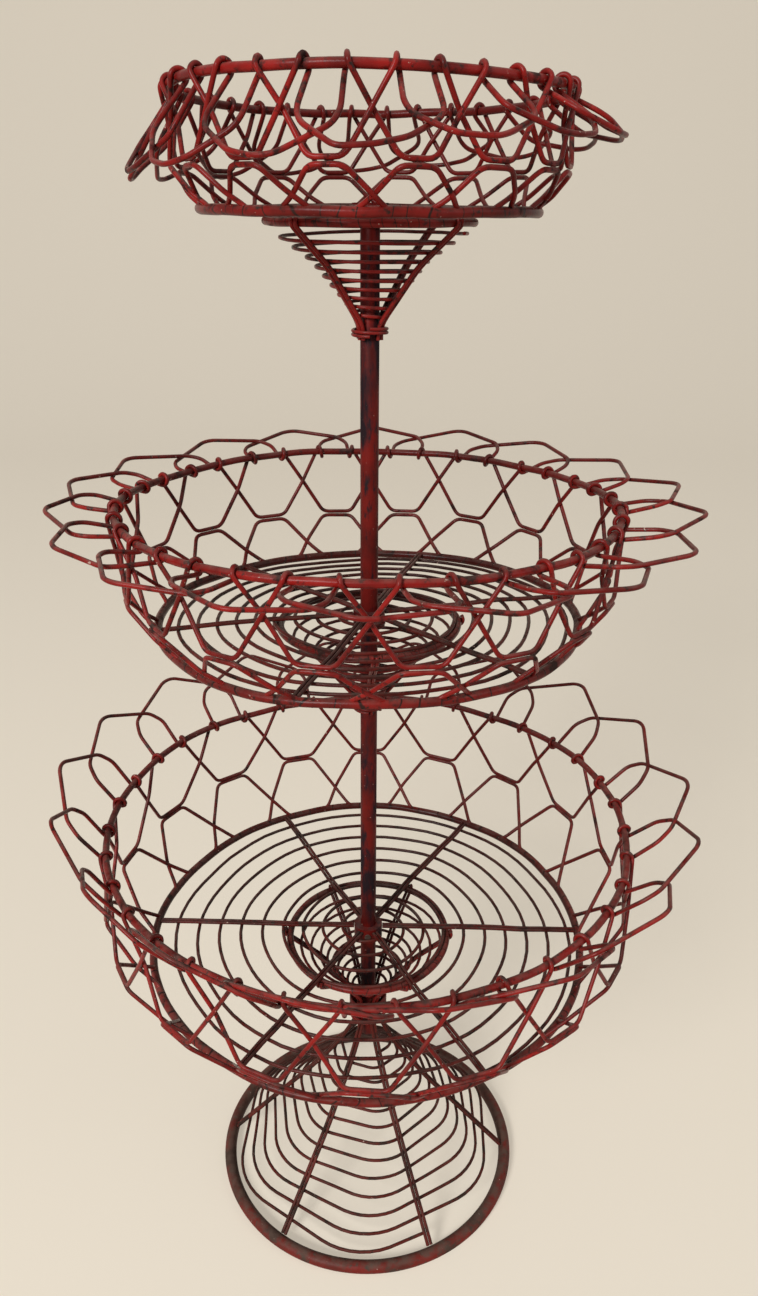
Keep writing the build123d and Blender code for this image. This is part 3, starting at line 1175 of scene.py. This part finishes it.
@dataclass(frozen=True)
class Foot:
    """The wire cone that the stand rests on."""

    hoop_radius: float = 105.0
    hoop_wire: float = 8.6
    hoop_height: float = 3.91
    rib_azimuth: float = 25.0
    rib_pairs: int = 6
    rib_wire: float = 2.3
    spiral_wire: float = 2.2
    spiral_turns: float = 12.0
    spiral_top: float = 104.0
    spiral_low: float = 12.0
    bend_offset: float = -31.0
    bend_drift: float = 22.0
    bend_drift_low: float = 9.0
    bend_drift_high: float = 62.0
    straight_half: float = 15.0
    profile: tuple[tuple[float, float], ...] = (
        (6.94, 146.0),
        (6.94, 128.5),
        (11.8, 117.0),
        (20.5, 101.0),
        (41.0, 74.0),
        (101.5, 7.5),
    )

    def rib_radius(self, height: float) -> float:
        """Give the ribs' distance from the axis at a height."""
        for (upper_radius, upper), (lower_radius, lower) in zip(self.profile, self.profile[1:]):
            if height >= lower:
                share = (upper - height) / (upper - lower)
                return upper_radius + share * (lower_radius - upper_radius)
        return self.profile[-1][0]

    def bend_azimuth(self, height: float) -> float:
        """Give where a turn's front bend lies: midway between ribs below, near a rib above."""
        drift = self.bend_drift * between(self.bend_drift_low, self.bend_drift_high, height)
        return self.rib_azimuth + self.bend_offset + drift

    def bulge(self, off_bend: float) -> float:
        """Give a turn's radius as a share of its straight runs' distance from the column.

        Args:
            off_bend: Degrees from the nearest of the turn's six bends.

        Returns:
            1 in the middle of a run, and the most at a bend.
        """
        off_middle = 30 - abs(off_bend)
        straight = min(off_middle, self.straight_half)
        eased = radians(off_middle - straight)
        slope = sin(radians(straight)) / cos(radians(straight)) ** 2
        reach = eased - eased**2 / (2 * radians(self.straight_half))
        return 1 / cos(radians(straight)) + slope * reach

    def spiral_route(self) -> Route:
        """Give the foot's spiral, a rounded hexagon that lies just inside each rib it passes."""
        steps = 90
        count = round(self.spiral_turns * steps)
        inside = (self.rib_wire + self.spiral_wire) / 2 + 2 * SEAT
        points = []
        for number in range(count + 1):
            height = self.spiral_top - (self.spiral_top - self.spiral_low) * number / count
            azimuth = self.rib_azimuth + 360 * number / steps
            bend = self.bend_azimuth(height)
            off_bend = (azimuth - bend + 30) % 60 - 30
            rib_off_bend = (self.rib_azimuth - bend + 30) % 60 - 30
            run = (self.rib_radius(height) - inside * 1.35) / self.bulge(rib_off_bend)
            points.append(polar(run * self.bulge(off_bend), azimuth, height - inside * 0.4))
        return Route(points).bent()

    def rib_routes(self) -> list[Route]:
        """Give the ribs, two wires side by side, from the neck to the base hoop."""
        routes = []
        for number in range(self.rib_pairs):
            azimuth = self.rib_azimuth + 360 * number / self.rib_pairs
            turn = Matrix.Rotation(radians(azimuth), 3, "Z")
            for aside in (-self.rib_wire / 2 - SEAT, self.rib_wire / 2 + SEAT):
                line = [turn @ Vector((aside, -radius, height)) for radius, height in self.profile]
                routes.append(rounded(line, FOOT_BEND, steps=9).bent())
        return routes

    def base_hoop(self) -> bpy.types.Object:
        """Make the base hoop, cut flat where it stands."""
        bpy.ops.object.select_all(action="DESELECT")
        bpy.ops.mesh.primitive_torus_add(
            major_segments=160,
            minor_segments=28,
            major_radius=self.hoop_radius * MM,
            minor_radius=self.hoop_wire / 2 * MM,
            location=(0, 0, self.hoop_height * MM),
        )
        piece = bpy.context.object
        piece.name = "base_hoop_wrapped"
        bpy.ops.object.transform_apply(location=True, rotation=True, scale=True)
        bpy.ops.object.mode_set(mode="EDIT")
        bpy.ops.mesh.select_all(action="SELECT")
        bpy.ops.mesh.bisect(
            plane_co=(0, 0, 0), plane_no=(0, 0, -1), use_fill=True, clear_outer=True
        )
        bpy.ops.object.mode_set(mode="OBJECT")
        bpy.ops.object.shade_smooth_by_angle(angle=radians(40))
        return piece

    def build(self, shop: Workshop) -> None:
        """Make the foot's pieces."""
        shop.finish(self.base_hoop(), BASE_PAINT, ("base_hoop",))
        ribs = draw("foot_rib_pairs", self.rib_routes(), self.rib_wire, Facets.THIN)
        shop.finish(ribs, FOOT_PAINT, ("foot_ribs",))
        spiral = draw("foot_spiral_wire", [self.spiral_route()], self.spiral_wire, Facets.THIN)
        shop.finish(spiral, FOOT_PAINT, ("foot_spiral",))


@dataclass(frozen=True)
class Lamp:
    """One soft lamp: where it hangs and its width, in metres, and its power in watts."""

    place: tuple[float, float, float]
    size: float
    power: float


@dataclass(frozen=True)
class Studio:
    """Camera, lamps and a pale sweep to stand on. The sweep's sizes are metres."""

    camera_height: float = 656.25
    camera_distance: float = 569.1
    pitch: float = 22.9
    yaw: float = 0.62
    roll: float = 0.4
    focal_pixels: float = 1003.0
    photo_height: float = 1296.0
    sensor: float = 36.0
    floor_colour: str = "#C4BBAC"
    floor_glow: float = 0.75
    room_colour: str = "#F0EEEA"
    room_light: float = 0.2
    room_look: float = 0.7
    sweep_size: float = 8.0
    sweep_height: float = 5.0
    sweep_bend: float = 1.5
    lamps: tuple[Lamp, ...] = (
        Lamp((-1.65, -2.85, 2.0), 1.05, 118),
        Lamp((1.8, -0.9, 1.3), 1.6, 8),
    )
    lamp_aim: tuple[float, float, float] = (0.0, 0.0, 0.35)

    def camera(self) -> None:
        """Put the camera where the photograph was taken from."""
        bpy.ops.object.select_all(action="DESELECT")
        bpy.ops.object.camera_add()
        camera = bpy.context.object
        lens = camera.data
        lens.sensor_fit = "VERTICAL"
        lens.sensor_height = self.sensor
        lens.lens = self.focal_pixels / self.photo_height * self.sensor
        lens.clip_start = 0.01
        turn = Matrix.Rotation(radians(-self.yaw), 4, "Z")
        tilt = Matrix.Rotation(radians(90 - self.pitch), 4, "X")
        roll = Matrix.Rotation(radians(self.roll), 4, "Z")
        place = Matrix.Translation((0, -self.camera_distance * MM, self.camera_height * MM))
        camera.matrix_world = place @ turn @ tilt @ roll
        bpy.context.scene.camera = camera

    def sweep(self) -> None:
        """Lay the pale floor, which curves up into the backdrop."""
        bpy.ops.object.select_all(action="DESELECT")
        bpy.ops.mesh.primitive_plane_add(size=self.sweep_size)
        floor = bpy.context.object
        floor.name = "pale_sweep"
        bpy.ops.object.mode_set(mode="EDIT")
        bpy.ops.mesh.select_all(action="DESELECT")
        bpy.ops.object.mode_set(mode="OBJECT")
        for edge in floor.data.edges:
            edge.select = all(floor.data.vertices[end].co.y > 0 for end in edge.vertices)
        bpy.ops.object.mode_set(mode="EDIT")
        bpy.ops.mesh.select_mode(type="EDGE")
        bpy.ops.mesh.extrude_region_move(
            TRANSFORM_OT_translate={"value": (0, 0, self.sweep_height)}
        )
        bpy.ops.object.mode_set(mode="OBJECT")
        bevel = floor.modifiers.new("sweep", "BEVEL")
        bevel.width = self.sweep_bend
        bevel.segments = 12
        bpy.ops.object.modifier_apply(modifier=bevel.name)
        bpy.ops.object.shade_smooth()
        floor.data.materials.append(self.paper())

    def looked_at(self, tree: bpy.types.NodeTree) -> bpy.types.NodeSocket:
        """Give the socket that is 1 for the camera and for what mirrors or glass would show it."""
        seen = add_node(tree, "ShaderNodeLightPath").outputs
        looks = seen["Is Camera Ray"]
        for ray in ("Is Glossy Ray", "Is Transmission Ray"):
            both = add_node(
                tree, "ShaderNodeMath", {"operation": "MAXIMUM"}, {0: looks, 1: seen[ray]}
            )
            looks = both.outputs[0]
        return looks

    def room(self) -> bpy.types.World:
        """Make the room's even light, pale to the eye and dim on the stand."""
        world = bpy.data.worlds.new("pale_room")
        world.use_nodes = True
        tree = world.node_tree
        backdrop = tree.nodes["Background"]
        backdrop.inputs["Color"].default_value = linear(self.room_colour)
        strength = add_node(
            tree,
            "ShaderNodeMapRange",
            {"To Min": self.room_light, "To Max": self.room_look},
            {"Value": self.looked_at(tree)},
        )
        tree.links.new(strength.outputs["Result"], backdrop.inputs["Strength"])
        return world

    def paper(self) -> bpy.types.Material:
        """Make the sweep's matt paper, paler to the eye than the light that it throws back."""
        material = bpy.data.materials.new("matt_paper_sweep")
        material.use_nodes = True
        tree = material.node_tree
        shader = tree.nodes["Principled BSDF"]
        shader.inputs["Base Color"].default_value = linear(self.floor_colour)
        shader.inputs["Roughness"].default_value = 0.9
        shader.inputs["Emission Color"].default_value = linear(self.floor_colour)
        glow = add_node(
            tree,
            "ShaderNodeMath",
            {"operation": "MULTIPLY", 1: self.floor_glow},
            {0: self.looked_at(tree)},
        )
        tree.links.new(glow.outputs[0], shader.inputs["Emission Strength"])
        return material

    def hang(self, lamp: Lamp) -> None:
        """Hang one lamp so that it faces the stand."""
        bpy.ops.object.light_add(type="AREA", location=lamp.place)
        light = bpy.context.object
        light.data.energy = lamp.power
        light.data.size = lamp.size
        aim = Vector(self.lamp_aim) - Vector(lamp.place)
        light.rotation_euler = aim.to_track_quat("-Z", "Y").to_euler()

    def build(self) -> None:
        """Set the studio up."""
        scene = bpy.context.scene
        scene.view_settings.view_transform = "Standard"
        self.camera()
        self.sweep()
        for lamp in self.lamps:
            self.hang(lamp)
        scene.world = self.room()


def main() -> None:
    """Load the frame, dress the stand and set the studio up."""
    logging.basicConfig(level=logging.INFO, format="%(message)s")
    noise.seed_set(NOISE_SEED)
    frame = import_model()
    shop = Workshop({})
    Foot().build(shop)
    Column().build(shop)
    for basket in (BOTTOM, MIDDLE, TOP):
        basket.build(shop)
    for name, paint in (("hub_collars", ROD_PAINT), ("hub_rivet", RIVET_STEEL)):
        node = frame["nodes"][name]
        node.data.materials.clear()
        node.data.materials.append(shop.material(paint))
        log.info("%s dressed as it is", name)
    Studio().build()


if __name__ == "__main__":
    main()
